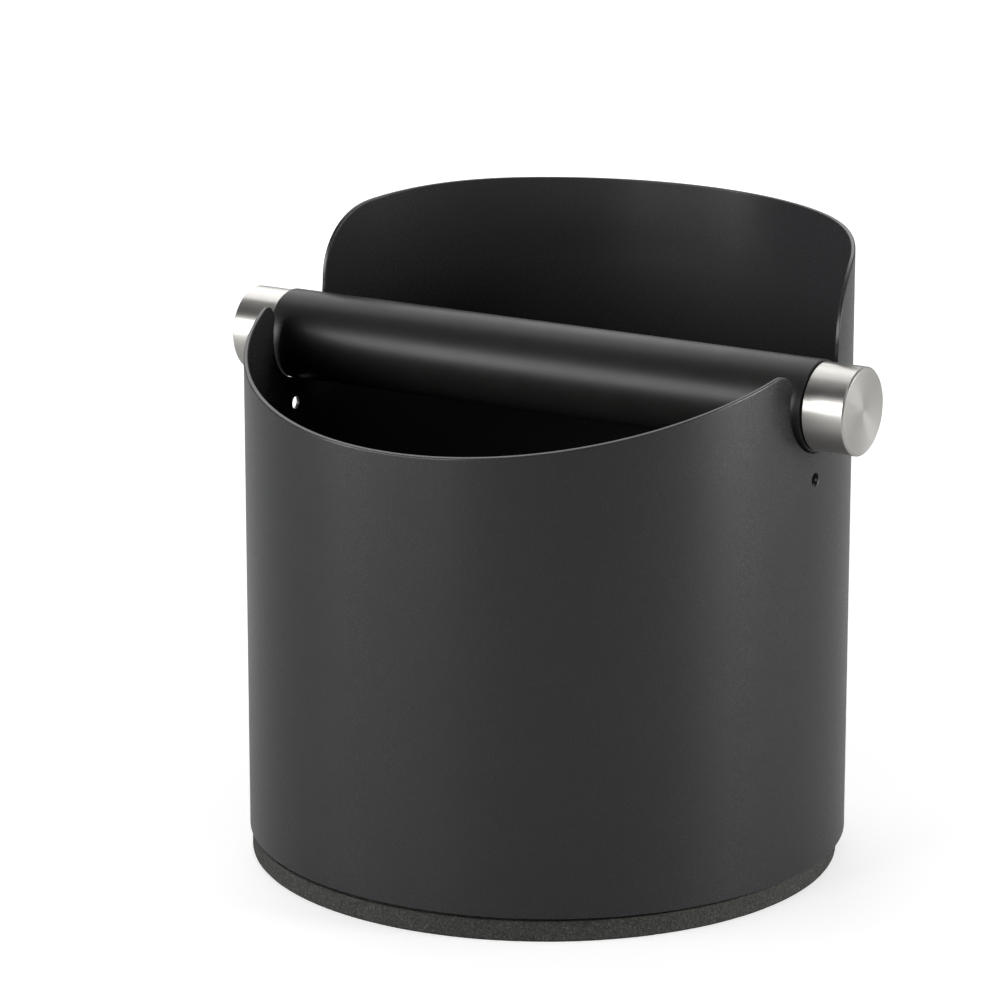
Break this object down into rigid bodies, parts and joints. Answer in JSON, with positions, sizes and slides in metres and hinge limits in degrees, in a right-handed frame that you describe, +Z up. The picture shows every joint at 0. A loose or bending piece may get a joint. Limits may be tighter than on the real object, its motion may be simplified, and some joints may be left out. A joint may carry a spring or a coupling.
{
  "type": "espresso knock box",
  "caption": "Round sheet-metal knock box with a cut-down front, a foam base pad and a rubber-covered knock bar that lifts out of two notches.",
  "frame": {"origin": "centre of the foam pad's underside, on the table", "axes": "+X along the knock bar towards its right end, +Y towards the tall back, +Z up"},
  "size_m": [0.1736, 0.15, 0.1565],
  "materials": {
    "powder_coat": "matte charcoal powder coat with a very fine texture, on 1 mm stainless sheet, 1.1 mm thick with the coating",
    "eva_foam": "black closed-cell EVA foam with a porous, speckled edge",
    "adhesive_film": "thin double-sided adhesive film, hidden",
    "core_steel": "plain drawn steel, hidden",
    "sleeve_rubber": "satin black rubber",
    "plug_brass": "turned brass, hidden",
    "washer_black": "matte black",
    "cap_steel": "turned and brushed stainless steel with bright bevels and a spun end face"
  },
  "bodies": {
    "can": {"can_wall": "powder_coat", "can_floor": "powder_coat", "base_pad": "eva_foam", "pad_film": "adhesive_film"},
    "bar_core": {"bar_core_tube": "core_steel"},
    "bar": {"bar_sleeve": "sleeve_rubber", "end_plug_left": "plug_brass", "end_plug_right": "plug_brass", "cap_stud_left": "core_steel", "cap_stud_right": "core_steel", "cap_washer_left": "washer_black", "cap_washer_right": "washer_black", "end_cap_left": "cap_steel", "end_cap_right": "cap_steel"}
  },
  "joints": [
    {"name": "bar_lift", "type": "slide", "parent": "can", "child": "bar_core", "axis": [0, 0, 1], "range_m": [0, 0.06]},
    {"name": "bar_turn", "type": "hinge", "parent": "bar_core", "child": "bar", "pos_m": [0, 0, 0.1233], "axis": [1, 0, 0], "continuous": true}
  ]
}
